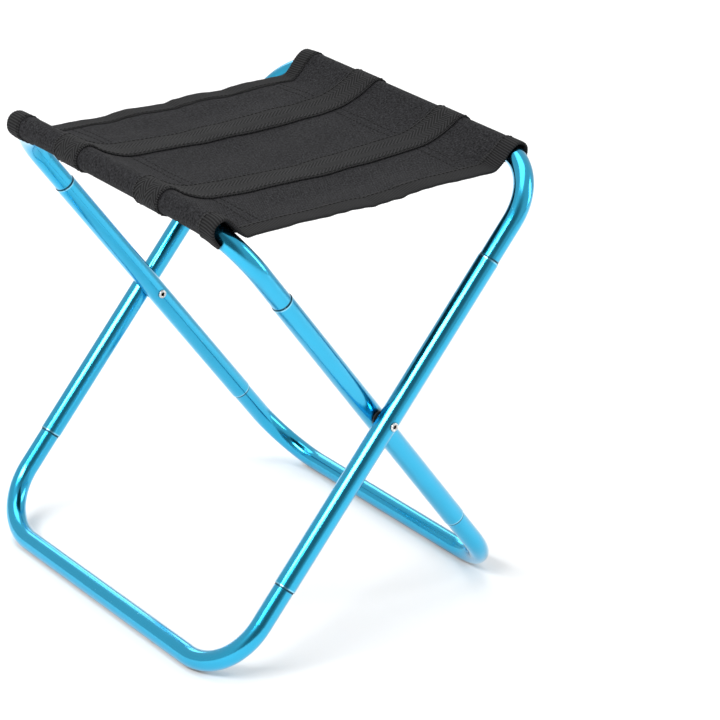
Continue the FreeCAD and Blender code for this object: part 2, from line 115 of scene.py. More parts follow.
class StoolSeatSettings(PropertyGroup):
    cloth: length("Cloth", "Thickness of the seat cloth", 0.7 * MM)
    slack: length("Sleeve slack", "How far a sleeve hangs below its bar", 1.6 * MM)
    sag: length("Sag", "Middle of the seat below the seams", 2.6 * MM)
    strap: length("Strap", "Thickness of the webbing", 1.0 * MM)
    tape: length("Tape", "Thickness of the edge binding", 0.45 * MM)
    tape_width: length("Tape width", "Width of the binding on each face", 11.5 * MM)
    rib: length("Rib pitch", "From one rib of the binding to the next", 1.4 * MM)
    stitch: length("Stitch pitch", "From one stitch to the next", 3.0 * MM)


class StoolFinishSettings(PropertyGroup):
    blue: colour("Anodising", "Colour of the anodised tubes", (0.012, 0.40, 0.66))
    rivet: colour("Rivet", "Colour of the plated rivets", (0.72, 0.71, 0.69))
    cloth: colour("Cloth", "Colour of the seat cloth", (0.0215, 0.0215, 0.0236))
    webbing: colour("Webbing", "Colour of the straps and the edge tape", (0.0150, 0.0150, 0.0156))
    thread: colour("Thread", "Colour of the stitching", (0.006, 0.006, 0.006))
    floor: colour("Floor", "Colour of the floor", (0.93, 0.93, 0.93))


# ---- meshes ------------------------------------------------------------------------------------


def add_object(name, mesh, material):
    made = bpy.data.objects.new(name, mesh)
    bpy.context.scene.collection.objects.link(made)
    mesh.materials.clear()
    mesh.materials.append(material)
    return made


def grid_normals(grid):
    """Unit normals of a grid of points, on the outside of the cloth."""
    along = np.gradient(grid, axis=0)
    across = np.gradient(grid, axis=1)
    normal = np.cross(across, along)
    return normal / np.maximum(np.linalg.norm(normal, axis=2, keepdims=True), 1e-12)


def shell_mesh(name, grid, outside, inside, uv):
    """A closed sheet: one layer outside a grid of points, one layer inside it and a rim."""
    rows, columns = grid.shape[:2]
    normal = grid_normals(grid)
    outer = grid + normal * np.broadcast_to(outside, grid.shape[:2])[..., None]
    inner = grid - normal * np.broadcast_to(inside, grid.shape[:2])[..., None]
    points = np.concatenate([outer.reshape(-1, 3), inner.reshape(-1, 3)])
    index = np.arange(rows * columns).reshape(rows, columns)
    low, high = index[:-1, :-1], index[1:, 1:]
    left, right = index[1:, :-1], index[:-1, 1:]
    top = np.stack([low, right, high, left], -1).reshape(-1, 4)
    under = np.stack([low, left, high, right], -1).reshape(-1, 4) + rows * columns
    loop = np.concatenate([index[:-1, 0], index[-1, :-1], index[:0:-1, -1], index[0, :0:-1]])
    following = np.roll(loop, -1)
    rim = np.stack([loop, following, following + rows * columns, loop + rows * columns], -1)
    faces = np.concatenate([top, under, rim])
    mesh = bpy.data.meshes.new(name)
    mesh.from_pydata(points.tolist(), [], faces.tolist())
    both = np.concatenate([uv.reshape(-1, 2)] * 2)
    corner = np.zeros(len(mesh.loops), np.int32)
    mesh.loops.foreach_get("vertex_index", corner)
    layer = mesh.uv_layers.new(name="UVMap")
    layer.data.foreach_set("uv", both[corner].astype(np.float32).ravel())
    mesh.shade_smooth()
    mesh.validate()
    return mesh


def smooth_step(low, high, x):
    t = np.clip((x - low) / (high - low), 0, 1)
    return t * t * (3 - 2 * t)


def waves(x, seed, count, shortest, longest):
    """A gentle wandering line between about -1 and 1, always the same for one seed."""
    draw = np.random.default_rng(seed)
    total = np.zeros_like(x, dtype=float)
    for _ in range(count):
        size = draw.uniform(shortest, longest)
        total += np.sin(2 * np.pi * (x / size + draw.uniform()))
    return total / math.sqrt(count)


# ---- seat surface ------------------------------------------------------------------------------


DISC_POINTS = 72


def tube_centre(y, leg_y):
    """Where the bent tube runs at a distance along the bar: x outboard and z."""
    past = max(0.0, abs(y) - (leg_y - CORNER_RADIUS)) / CORNER_RADIUS
    drop = CORNER_RADIUS * (1 - math.sqrt(max(0.0, 1 - past * past)))
    return BAR_X - drop * math.sin(LEAN), BAR_Z - drop * math.cos(LEAN)


def disc(centre, radius):
    turn = np.linspace(0, 2 * np.pi, DISC_POINTS, endpoint=False)
    return np.stack([centre[0] + radius * np.cos(turn), centre[1] + radius * np.sin(turn)], -1)


def resample(points, count):
    """The same line with its points evenly spaced."""
    steps = np.linalg.norm(np.diff(points, axis=0), axis=1)
    along = np.concatenate([[0], np.cumsum(steps)])
    wanted = np.linspace(0, along[-1], count)
    return np.stack([np.interp(wanted, along, points[:, k]) for k in range(points.shape[1])], -1)


# How far the edges of the seat stray above or below their line, from the left seam to the right.
NEAR_EDGE = (
    np.array([-80, -76, -52, -26, -8, -1, 8, 26, 44, 62, 76, 80]) * MM,
    np.array([0.0, 0.0, 0.4, 0.3, -0.5, -1.3, -0.3, 0.9, 1.5, 0.7, 0.0, 0.0]) * MM,
)
FAR_EDGE = (
    np.array([-80, -76, -50, -30, -12, -2, 4, 20, 40, 60, 76, 80]) * MM,
    np.array([0.0, 0.0, -0.3, 0.4, -0.2, -0.9, 0.2, 0.6, -0.1, 0.5, 0.0, 0.0]) * MM,
)


def drawn_in(y):
    """How far the underside of a sleeve stops short of its top at the mouths, where the tube
    bends down and out."""
    return TRIM * smooth_step(*TRIM_SPAN, abs(y))


class SeatSurface:
    """The middle of the seat cloth. Rows run from the hem under the right seam, round the right
    bar, over the seat, round the left bar and back under the left seam. Columns run along Y."""

    HEM_ROWS = 7
    SLEEVE_ROWS = 60
    PANEL_ROWS = 90
    BELT_POINTS = 120
    MARGIN = 3 * MM
    STEP = 1.5 * MM

    # Where a change towards the near and far ends begins and is complete, from the middle.
    MOUTH_SPAN = (52 * MM, 98 * MM)
    EDGE_SPAN = (52 * MM, 96 * MM)
    FALL_SPAN = (55 * MM, 97 * MM)
    TAPED_SPAN = (CLOTH_EDGE - 17 * MM, CLOTH_EDGE - 12 * MM)

    # Sleeves: room round the tube, how much nearer the bar they close at the mouths, how far
    # they stay off the bent tube, how far they settle there, and the fold of slack below.
    EASE = 0.5 * MM
    MOUTH_CLOSES = 13 * MM
    OFF_TUBE = 1.5 * MM
    MOUTH_SETTLES = 0.6 * MM
    FOLD_INWARDS = 9 * MM
    FOLD_RADIUS = 4 * MM
    FOLD_UNTIL = 0.4
    TOP_DIP = 1.6 * MM
    SLEEVE_PASSES = 3

    # Layers of cloth from one to the next: plain, and how much more where they are taped.
    LAYER = 0.85 * MM
    TAPED_MORE = 1.35 * MM
    UNDER_SHARE = 0.42
    TRIM_ROWS = (2, 7)

    # Seat: how far the ends of the seams fall, how much tauter its edges are, how far it dips
    # between the straps and beside them, and its ripples.
    NEAR_FALL = 1.6 * MM
    FAR_FALL = 2.6 * MM
    EDGE_TAUT = 0.75
    BETWEEN_DIP = 1.0 * MM
    BESIDE_DIP = 1.3 * MM
    BESIDE_Y = 66 * MM
    BESIDE_SPREAD = 11 * MM
    LONG_RIPPLE = 0.42 * MM
    LONG_SLANT = 0.35
    LONG_SIZES = (26 * MM, 75 * MM)
    CROSS_RIPPLE = 0.34 * MM
    CROSS_SLANT = 0.25
    CROSS_SIZES = (22 * MM, 60 * MM)

    # Seams: how many rows either side are eased, how much and how often.
    EASED_ROWS = 3.0
    EASED_SHARE = 0.5
    EASED_PASSES = 5

    def __init__(self, settings):
        self.settings = settings
        reach = CLOTH_EDGE + self.MARGIN
        self.across = np.linspace(-reach, reach, int(2 * reach / self.STEP) + 1)
        self.grid = np.stack([self.section(y) for y in self.across], axis=1)
        self.ease_seams()
        self.grid[..., 1] += SKEW * self.grid[..., 0] / BAR_X
        self.normal = grid_normals(self.grid)
        middle = self.grid[:, len(self.across) // 2]
        steps = np.linalg.norm(np.diff(middle, axis=0), axis=1)
        self.along = np.concatenate([[0], np.cumsum(steps)])
        self.right_seam = self.along[self.HEM_ROWS + self.SLEEVE_ROWS - 1]
        self.left_seam = self.along[-self.HEM_ROWS - self.SLEEVE_ROWS]

    def sleeve(self, y, leg_y, side):
        """The cloth round one bar, from the seam's underside back to its top: a snug belt round
        the bar and the tube where it bends down. Towards its mouths the belt closes nearer the
        bar, and both layers run together from there to the seam."""
        gap = self.settings.cloth / 2 + self.EASE
        radius = TUBE_RADIUS + gap
        tube = tube_centre(abs(y) - drawn_in(y), leg_y)
        mouth = smooth_step(*self.MOUTH_SPAN, abs(y))
        closes = min(SEAM_X + self.MOUTH_CLOSES * mouth, tube[0] - radius - self.OFF_TUBE)
        level = self.seam_height(side * y)
        slack = self.settings.slack * (1 - mouth)
        fold = (BAR_X - self.FOLD_INWARDS, BAR_Z - radius + self.FOLD_RADIUS - slack)
        cloud = np.concatenate(
            [
                disc((BAR_X, BAR_Z - self.MOUTH_SETTLES * mouth), radius),
                disc(tube, radius),
                disc(fold, self.FOLD_RADIUS) if mouth < self.FOLD_UNTIL else disc(tube, radius),
                np.array([[closes, level]]),
            ]
        )
        ring = cloud[convex_hull_2d([Vector(p) for p in cloud])]
        start = int(np.argmin(np.hypot(ring[:, 0] - closes, ring[:, 1] - level)))
        ring = np.roll(ring, -start, axis=0)
        if ring[1][1] > ring[-1][1]:
            ring = np.roll(ring[::-1], 1, axis=0)
        ring = resample(np.concatenate([ring, ring[:1]]), self.BELT_POINTS)
        self.dip_top(ring, closes, radius, self.TOP_DIP * (1 - mouth))
        seam = np.array([[SEAM_X, level]])
        ring = resample(np.concatenate([seam, ring, seam]), self.SLEEVE_ROWS)
        for _ in range(self.SLEEVE_PASSES):
            ring[1:-1] = (ring[:-2] + 2 * ring[1:-1] + ring[2:]) / 4
        return ring

    def dip_top(self, ring, closes, radius, depth):
        """Lets the top layer fall in a hollow curve from the bar to the seam."""
        upper = np.arange(len(ring)) > np.argmax(ring[:, 1])
        share = np.clip((ring[:, 0] - closes) / (BAR_X - closes), 0, 1)
        rise = np.sqrt(np.maximum(radius**2 - (ring[:, 0] - BAR_X) ** 2, 0))
        bar = np.where(rise > 0, BAR_Z + rise, 0.0)
        dipped = np.maximum(ring[:, 1] - depth * np.sin(np.pi * share), bar)
        ring[:, 1] = np.where(upper, np.minimum(dipped, ring[:, 1]), ring[:, 1])

    def seam_height(self, y):
        """The near and far ends of a seam hang a little, the far end more."""
        fall = self.FAR_FALL if y > 0 else self.NEAR_FALL
        return SEAM_Z - fall * smooth_step(*self.FALL_SPAN, abs(y))

    def panel_height(self, x, y):
        """The seat between its seams: taut over the straps, slack between and at the edges."""
        share = x / SEAM_X
        edge = smooth_step(*self.EDGE_SPAN, abs(y))
        inner = 1 - share**4
        belly = self.settings.sag * (1 - share**2) * (1 - self.EDGE_TAUT * edge)
        between = self.BETWEEN_DIP * np.cos(np.clip(y / STRAP_Y, -1, 1) * np.pi / 2) ** 2
        off_side = (abs(y) - self.BESIDE_Y) / self.BESIDE_SPREAD
        beside = self.BESIDE_DIP * np.exp(-(off_side**2))
        flutter = np.interp(x, *(FAR_EDGE if y > 0 else NEAR_EDGE)) * edge**1.5
        long_line = waves(x + self.LONG_SLANT * y, SEEDS["long_ripple"], 5, *self.LONG_SIZES)
        cross_line = waves(y - self.CROSS_SLANT * x, SEEDS["cross_ripple"], 4, *self.CROSS_SIZES)
        ripple = self.LONG_RIPPLE * long_line
        ripple += self.CROSS_RIPPLE * cross_line
        height = self.seam_height(y) - belly
        return height + inner * (ripple - between - beside) + flutter

    def section(self, y):
        """The whole line of the cloth at one distance along the bars, from hem to hem."""
        layers = self.LAYER + self.TAPED_MORE * smooth_step(*self.TAPED_SPAN, abs(y))
        x = np.linspace(SEAM_X, -SEAM_X, self.PANEL_ROWS + 2)[1:-1]
        panel = np.stack([x, np.full_like(x, y), self.panel_height(x, y)], -1)
        halves = []
        for side, leg_y in ((1, OUTER_LEG_Y), (-1, INNER_LEG_Y)):
            ring = self.sleeve(side * y + SKEW, leg_y, side)
            under = 1 - smooth_step(0, self.UNDER_SHARE, np.linspace(0, 1, self.SLEEVE_ROWS))
            hem_x = np.linspace(SEAM_X - HEM, SEAM_X, self.HEM_ROWS, endpoint=False)
            hem_z = self.panel_height(side * hem_x, y) - layers
            hem = np.stack([hem_x, hem_z], -1)
            lowered = np.stack([ring[:, 0], ring[:, 1] - layers * under], -1)
            line = np.concatenate([hem, lowered])
            lowest = int(np.argmin(ring[:, 1])) + self.HEM_ROWS
            first, last = lowest - self.TRIM_ROWS[0], lowest + self.TRIM_ROWS[1]
            below = 1 - smooth_step(first, last, np.arange(len(line)))
            line_y = y - math.copysign(drawn_in(y), y) * below
            halves.append(np.stack([side * line[:, 0], line_y, line[:, 1]], -1))
        return np.concatenate([halves[0], panel, halves[1][::-1]])

    def ease_seams(self):
        """Lets the top of each sleeve run smoothly into the seat."""
        row = np.arange(len(self.grid))
        ends = self.HEM_ROWS + self.SLEEVE_ROWS - 1
        weight = np.zeros(len(row))
        for seam in (ends, len(row) - 1 - ends):
            weight = np.maximum(weight, np.exp(-(((row - seam) / self.EASED_ROWS) ** 2)))
        weight = weight[1:-1, None, None] * self.EASED_SHARE
        for _ in range(self.EASED_PASSES):
            middle = (self.grid[:-2] + self.grid[2:]) / 2
            self.grid[1:-1] += weight * (middle - self.grid[1:-1])

    def at(self, along, across, lift):
        """Points above the cloth's middle. The three arguments are arrays of one shape."""
        along, across, lift = np.broadcast_arrays(along, across, lift)
        u = np.interp(along, self.along, np.arange(len(self.along)))
        v = np.interp(across, self.across, np.arange(len(self.across)))
        u0 = np.clip(u.astype(int), 0, len(self.along) - 2)
        v0 = np.clip(v.astype(int), 0, len(self.across) - 2)
        du, dv = (u - u0)[..., None], (v - v0)[..., None]

        def mixed(a):
            near = a[u0, v0] * (1 - du) + a[u0 + 1, v0] * du
            far = a[u0, v0 + 1] * (1 - du) + a[u0 + 1, v0 + 1] * du
            return near * (1 - dv) + far * dv

        normal = mixed(self.normal)
        normal /= np.linalg.norm(normal, axis=-1, keepdims=True)
        return mixed(self.grid) + normal * lift[..., None]


def blend_seat(piece):
    """Bakes the piece's placement into its mesh and leaves it where it lies."""
    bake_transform(piece)


# ---- shader nodes ------------------------------------------------------------------------------


class Wire:
    """A socket in a material. Sums written with wires add the Math nodes that work them out."""

    def __init__(self, maker, socket):
        self.maker = maker
        self.socket = socket

    def math(self, operation, *others):
        values = {i: v for i, v in enumerate((self, *others))}
        return self.maker.node("ShaderNodeMath", values, operation=operation)

    def __add__(self, other):
        return self.math("ADD", other)

    __radd__ = __add__

    def __sub__(self, other):
        return self.math("SUBTRACT", other)

    def __rsub__(self, other):
        return self.maker.node("ShaderNodeMath", {0: other, 1: self}, operation="SUBTRACT")

    def __mul__(self, other):
        return self.math("MULTIPLY", other)

    __rmul__ = __mul__

    def __truediv__(self, other):
        return self.math("DIVIDE", other)

    def __mod__(self, other):
        return self.math("FLOORED_MODULO", other)


class Maker:
    """Builds the nodes of one material, or of the world."""

    def __init__(self, owner):
        self.owner = owner
        owner.use_nodes = True
        self.tree = owner.node_tree
        self.tree.nodes.clear()

    def node(self, kind, sockets=None, out=0, **settings):
        """Adds a node, sets it up, feeds its sockets and gives one of its outputs."""
        made = self.tree.nodes.new(kind)
        for key, value in settings.items():
            setattr(made, key, value)
        for key, value in (sockets or {}).items():
            if isinstance(value, Wire):
                self.tree.links.new(value.socket, made.inputs[key])
            else:
                made.inputs[key].default_value = value
        return Wire(self, made.outputs[out]) if made.outputs else made

    def place(self):
        return self.node("ShaderNodeTexCoord", out="Object")

    def part(self, where, axis):
        """One of the three numbers of a place."""
        return self.node("ShaderNodeSeparateXYZ", {0: where}, out=axis)

    def cloth_place(self):
        """A sheet's own map, then the metres along it and the metres across it."""
        uv = self.node("ShaderNodeUVMap", uv_map="UVMap")
        return uv, self.part(uv, "X"), self.part(uv, "Y")

    def noise(self, where, scale, detail=2.0, roughness=0.5, stretch=None):
        if stretch:
            where = self.node("ShaderNodeMapping", {"Vector": where, "Scale": stretch})
        return self.node(
            "ShaderNodeTexNoise",
            {"Vector": where, "Scale": scale, "Detail": detail, "Roughness": roughness},
        )

    def spread(self, value, low, high, to_low, to_high):
        """Runs smoothly from one number to another as a wire goes from low to high."""
        return self.node(
            "ShaderNodeMapRange",
            {0: value, 1: low, 2: high, 3: to_low, 4: to_high},
            interpolation_type="SMOOTHSTEP",
        )

    def ribs(self, distance, pitch):
        """A wave between 0 and 1 that comes again at every pitch."""
        return (distance * (2 * math.pi / pitch)).math("SINE") * 0.5 + 0.5

    def tint(self, colour, amount):
        """A colour made darker or lighter by a wire."""
        return self.node(
            "ShaderNodeVectorMath", {0: colour, "Scale": amount}, operation="SCALE"
        )

    def mix(self, amount, first, second):
        return self.node(
            "ShaderNodeMix", {0: amount, 6: first, 7: second}, out=2, data_type="RGBA"
        )

    def bump(self, height, distance, strength=1.0):
        return self.node(
            "ShaderNodeBump", {"Height": height, "Distance": distance, "Strength": strength}
        )

    def finish(self, **sockets):
        """Ends a material with its shader. An underscore stands for a space in a socket's name."""
        named = {key.replace("_", " "): value for key, value in sockets.items()}
        shader = self.node("ShaderNodeBsdfPrincipled", named)
        self.node("ShaderNodeOutputMaterial", {"Surface": shader})
        return self.owner


SPECK_COLOUR = (0.45, 0.85, 1.0, 1.0)
# Painted highlight: the lighter blue laid on the rolled rim of each leg tube's end.
LIP_HIGHLIGHT_COLOUR = (0.40, 0.80, 0.95, 1.0)
NYLON_COLOUR = (0.03, 0.03, 0.032)
# How far the painted shade in the tubes' grooves looks for nearby surfaces.
GROOVE_SHADE_REACH = 3.0 * MM

# The line of painted shade in a joint, also made rougher as grime would be, and the painted
# highlight
# on the rolled rim beside it: how far past the leg tube's end the middle of each lies, and how far
# from that middle it is whole and has gone.
SHADE_AND_GRIME_AT = 0.3 * MM
SHADE_AND_GRIME_SPAN = (0.35 * MM, 0.75 * MM)
LIP_HIGHLIGHT_AT = -0.65 * MM
LIP_HIGHLIGHT_SPAN = (0.2 * MM, 0.5 * MM)

# Threads and ribs, from one to the next.
OXFORD_THREAD = 0.62 * MM
HERRINGBONE = 2.1 * MM
WEBBING_STRAND = 0.9 * MM
WEBBING_RIB = 1.1 * MM
TAPE_STRAND = 0.7 * MM
SELVEDGE_SPAN = (1.6 * MM, 1.1 * MM)

# Cloth, webbing and tape all shine this little.
DULL = {"Sheen_Weight": 0.02, "Sheen_Roughness": 0.4, "Specular_IOR_Level": 0.1}


def rgba(colour, scale=1.0):
    return (*(min(1.0, c * scale) for c in colour), 1.0)


def joint_distance(make, where, lean):
    """Metres past the nearest joint of a frame, along its leg; negative on the leg tube."""
    rise = make.part(where, "Z") - PIVOT_Z
    along = make.part(where, "X") * math.sin(lean) + rise * math.cos(lean)
    return along.math("ABSOLUTE") - LEG_END


def blue_anodised(finish, frame_name, lean):
    """Bright anodised tube, with small pits and light handling marks, painted shade in its
    grooves, a painted highlight on the rolled rim of each end of the leg tubes, and a line of
    painted shade in the joint beside it that is made rougher there as grime would be."""
    make = Maker(bpy.data.materials.new(f"blue_anodised_{frame_name}"))
    where = make.place()
    past = joint_distance(make, where, lean)
    joint_shade_and_grime = make.spread((past - SHADE_AND_GRIME_AT).math("ABSOLUTE"), *SHADE_AND_GRIME_SPAN, 1.0, 0.0)
    lip_highlight = make.spread((past - LIP_HIGHLIGHT_AT).math("ABSOLUTE"), *LIP_HIGHLIGHT_SPAN, 1.0, 0.0)
    cloud = make.noise(where, 38.0, 3.0)
    fine = make.noise(where, 900.0, 2.0, 0.6)
    pits = make.node("ShaderNodeTexVoronoi", {"Vector": where, "Scale": 260.0, "Randomness": 1.0})
    speck = make.spread(pits, 0.045, 0.10, 1.0, 0.0)
    patchy = make.noise(where, 21.0, 1.0)
    speck = speck * make.spread(patchy, 0.55, 0.68, 0.0, 1.0)
    rub = make.spread(make.noise(where, 14.0, 4.0, 0.65), 0.58, 0.78, 0.0, 1.0)
    shade = make.tint(finish.blue, 0.94 + cloud * 0.12)
    shade = make.mix(speck * 0.8, shade, SPECK_COLOUR)
    # Painted shade: the colour goes nearly black where nearby surfaces close in, in the grooves of
    # the joints and round the rivets.
    groove_shade = make.node(
        "ShaderNodeAmbientOcclusion", {"Distance": GROOVE_SHADE_REACH}, out="AO", samples=8
    )
    shade = make.mix(make.spread(groove_shade, 0.55, 0.97, 0.92, 0.0), shade, rgba(finish.blue, 0.06))
    # Painted highlight: a lighter blue band on the rolled rim of the leg tube.
    shade = make.mix(lip_highlight * 0.55, shade, LIP_HIGHLIGHT_COLOUR)
    # Painted shade: a dark line in the joint, which the roughness below also roughens as grime
    # would.
    shade = make.mix(joint_shade_and_grime * 0.9, shade, rgba(finish.blue, 0.13))
    rough = 0.16 + cloud * 0.05 + rub * 0.05 + speck * 0.3 + joint_shade_and_grime * 0.4
    height = fine * 0.2 - speck
    return make.finish(
        Base_Color=shade,
        Metallic=1.0,
        Roughness=rough,
        Coat_Weight=0.6,
        Coat_Roughness=0.12,
        Coat_IOR=1.6,
        Normal=make.bump(height, 0.00001, 0.3),
    )


def plated_rivet(finish):
    """Nickel-plated steel, scuffed where it was rolled over."""
    make = Maker(bpy.data.materials.new("plated_rivet"))
    where = make.place()
    scuff = make.noise(where, 700.0, 4.0, 0.6)
    grime = make.spread(make.noise(where, 420.0, 2.0), 0.5, 0.7, 0.0, 1.0)
    shade = make.mix(grime * 0.5, rgba(finish.rivet), rgba(finish.rivet, 0.45))
    return make.finish(
        Base_Color=shade,
        Metallic=1.0,
        Roughness=0.22 + scuff * 0.25,
        Normal=make.bump(scuff, 0.00004, 0.6),
    )


def black_nylon():
    make = Maker(bpy.data.materials.new("black_nylon"))
    grain = make.noise(make.place(), 1500.0, 2.0)
    return make.finish(
        Base_Color=make.tint(NYLON_COLOUR, 0.8 + grain * 0.4),
        Roughness=0.45 + grain * 0.2,
        Normal=make.bump(grain, 0.00003, 0.4),
    )


def oxford_cloth(finish):
    """Plain-weave polyester: threads over and under each other, uneven in the yarn."""
    make = Maker(bpy.data.materials.new("oxford_cloth"))
    uv, along, across = make.cloth_place()
    u = along / OXFORD_THREAD
    v = across / OXFORD_THREAD
    over = (u.math("FLOOR") + v.math("FLOOR")) % 2.0
    warp = (v.math("FRACT") * math.pi).math("SINE")
    weft = (u.math("FRACT") * math.pi).math("SINE")
    thread = warp * over + weft * (1 - over)
    yarn_u = make.noise(uv, 1.0, 2.0, stretch=(180.0, 1500.0, 1.0))
    yarn_v = make.noise(uv, 1.0, 2.0, stretch=(1500.0, 180.0, 1.0))
    yarn = yarn_u * over + yarn_v * (1 - over)
    cloud = make.noise(make.place(), 26.0, 3.0, 0.6)
    lint = make.spread(make.noise(make.place(), 1300.0, 1.0), 0.70, 0.80, 0.0, 1.0)
    slub = make.noise(uv, 1.0, 3.0, 0.7, stretch=(220.0, 1100.0, 1.0))
    slub = slub + make.noise(uv, 1.0, 3.0, 0.7, stretch=(1100.0, 220.0, 1.0)) - 1.0
    grain = make.noise(uv, 900.0, 1.0) - 0.5
    light = thread * 0.7 + yarn * 0.6 + cloud * 0.2 + slub * 1.6 + grain * 3.0
    shade = make.tint(finish.cloth, light)
    shade = make.mix(lint * 0.3, shade, rgba(finish.cloth, 4.0))
    return make.finish(
        Base_Color=shade,
        Roughness=0.78 + yarn * 0.18,
        **DULL,
        Normal=make.bump(thread + yarn * 0.8 + slub, 0.00016, 1.0),
    )


def herringbone_webbing(finish):
    """Woven strap: slanting ridges that turn back at the middle, and ribbed edges."""
    make = Maker(bpy.data.materials.new("herringbone_webbing"))
    uv, along, across = make.cloth_place()
    column = STRAP_WIDTH / 4
    slant = along * 0.8 + across.math("PINGPONG", column)
    ridge = make.ribs(slant, HERRINGBONE)
    strand = make.ribs(across, WEBBING_STRAND)
    middle = STRAP_WIDTH / 2
    from_middle = (across - middle).math("ABSOLUTE")
    inner, outer = (middle - inset for inset in SELVEDGE_SPAN)
    edge = make.spread(from_middle, inner, outer, 0.0, 1.0)
    rib = make.ribs(along, WEBBING_RIB)
    weave = (ridge * 0.75 + strand * 0.25) * (1 - edge) + rib * edge
    fuzz = make.noise(uv, 1.0, 2.0, 0.6, stretch=(1400.0, 900.0, 1.0))
    shade = make.tint(finish.webbing, weave * 1.9 + fuzz * 0.5)
    return make.finish(
        Base_Color=shade,
        Roughness=0.74 + fuzz * 0.2,
        **DULL,
        Normal=make.bump(weave + fuzz * 0.25, 0.0004, 1.0),
    )


def grosgrain_tape(finish, pitch):
    """Ribbed tape, each rib wound from several fine threads."""
    make = Maker(bpy.data.materials.new("grosgrain_tape"))
    uv, along, across = make.cloth_place()
    rib = make.ribs(along, pitch)
    strand = make.ribs(across, TAPE_STRAND)
    fuzz = make.noise(uv, 1.0, 2.0, 0.6, stretch=(1600.0, 700.0, 1.0))
    shade = make.tint(finish.webbing, 0.1 + rib * 1.3 + strand * 0.2 + fuzz * 0.5)
    return make.finish(
        Base_Color=shade,
        Roughness=0.72 + fuzz * 0.2,
        **DULL,
        Normal=make.bump(rib * 0.8 + strand * 0.2 + fuzz * 0.3, 0.0002, 0.8),
    )


def sewing_thread(finish):
    make = Maker(bpy.data.materials.new("sewing_thread"))
    twist = make.noise(make.place(), 2600.0, 2.0)
    return make.finish(
        Base_Color=make.tint(finish.thread, 0.6 + twist * 0.9),
        Roughness=0.55 + twist * 0.25,
        Specular_IOR_Level=0.12,
        Normal=make.bump(twist, 0.00005, 0.6),
    )


def studio_floor(finish):
    make = Maker(bpy.data.materials.new("studio_floor"))
    soft = make.noise(make.place(), 3.0, 2.0)
    return make.finish(
        Base_Color=make.tint(finish.floor, 0.99 + soft * 0.02),
        Roughness=0.65,
        Specular_IOR_Level=0.2,
    )


# ---- stitching ---------------------------------------------------------------------------------


# How much of its pitch a stitch fills, half the thread's width, and how far the rows lie above
# the cloth, and above a strap or the tape.
STITCH_SHARE = 0.78
THREAD_RADIUS = 0.28 * MM
ROW_LIFT = 0.05 * MM
TRIM_ROW_LIFT = 0.12 * MM


def stitch_tree():
    """Geometry nodes that lay a row of stitches along each line of the mesh they are given."""
    tree = bpy.data.node_groups.new("stitch_rows", "GeometryNodeTree")
    face = tree.interface
    face.new_socket("Rows", in_out="INPUT", socket_type="NodeSocketGeometry")
    for name in ("Pitch", "Stitch length", "Thread radius"):
        face.new_socket(name, in_out="INPUT", socket_type="NodeSocketFloat")
    face.new_socket("Thread", in_out="INPUT", socket_type="NodeSocketMaterial")
    face.new_socket("Stitches", in_out="OUTPUT", socket_type="NodeSocketGeometry")

    def node(kind, **settings):
        made = tree.nodes.new(kind)
        for key, value in settings.items():
            setattr(made, key, value)
        return made

    def join(source, output, target, socket):
        tree.links.new(source.outputs[output], target.inputs[socket])

    given = node("NodeGroupInput")
    result = node("NodeGroupOutput")
    curve = node("GeometryNodeMeshToCurve")
    spaced = node("GeometryNodeResampleCurve", mode="LENGTH")
    ball = node("GeometryNodeMeshUVSphere")
    for name, number in (("Segments", 6), ("Rings", 5), ("Radius", 1.0)):
        ball.inputs[name].default_value = number
    size = node("ShaderNodeCombineXYZ")
    half = node("ShaderNodeMath", operation="DIVIDE")
    half.inputs[1].default_value = 2.0
    shaped = node("GeometryNodeTransform")
    tangent = node("GeometryNodeInputTangent")
    turn = node("FunctionNodeAlignRotationToVector", axis="X")
    rows = node("GeometryNodeInstanceOnPoints")
    real = node("GeometryNodeRealizeInstances")
    painted = node("GeometryNodeSetMaterial")
    join(given, "Rows", curve, "Mesh")
    join(curve, "Curve", spaced, "Curve")
    join(given, "Pitch", spaced, "Length")
    join(given, "Stitch length", half, 0)
    join(half, 0, size, "X")
    join(given, "Thread radius", size, "Y")
    join(given, "Thread radius", size, "Z")
    join(ball, "Mesh", shaped, "Geometry")
    join(size, 0, shaped, "Scale")
    join(tangent, 0, turn, "Vector")
    join(spaced, "Curve", rows, "Points")
    join(shaped, "Geometry", rows, "Instance")
    join(turn, "Rotation", rows, "Rotation")
    join(rows, "Instances", real, "Geometry")
    join(real, "Geometry", painted, "Geometry")
    join(given, "Thread", painted, "Material")
    join(painted, "Geometry", result, "Stitches")
    return tree


def sew(name, rows, tree, pitch, thread):
    """Turns rows of points into rows of stitches, as one plain mesh."""
    points = np.concatenate(rows)
    edges = []
    first = 0
    for row in rows:
        edges += [(first + i, first + i + 1) for i in range(len(row) - 1)]
        first += len(row)
    guide = bpy.data.meshes.new(f"{name}_rows")
    guide.from_pydata(points.tolist(), edges, [])
    made = add_object(name, guide, thread)
    modifier = made.modifiers.new("stitches", "NODES")
    modifier.node_group = tree
    sockets = {item.name: item.identifier for item in tree.interface.items_tree}
    modifier[sockets["Pitch"]] = pitch
    modifier[sockets["Stitch length"]] = pitch * STITCH_SHARE
    modifier[sockets["Thread radius"]] = THREAD_RADIUS
    modifier[sockets["Thread"]] = thread
    bpy.context.view_layer.update()
    result = bpy.data.meshes.new_from_object(
        made.evaluated_get(bpy.context.evaluated_depsgraph_get())
    )
    made.modifiers.remove(modifier)
    made.data = result
    result.name = name
    result.shade_smooth()
    return made


# ---- operators ---------------------------------------------------------------------------------


def seat_settings(context):
    return context.scene.stool_seat


def finish_settings(context):
    return context.scene.stool_finish


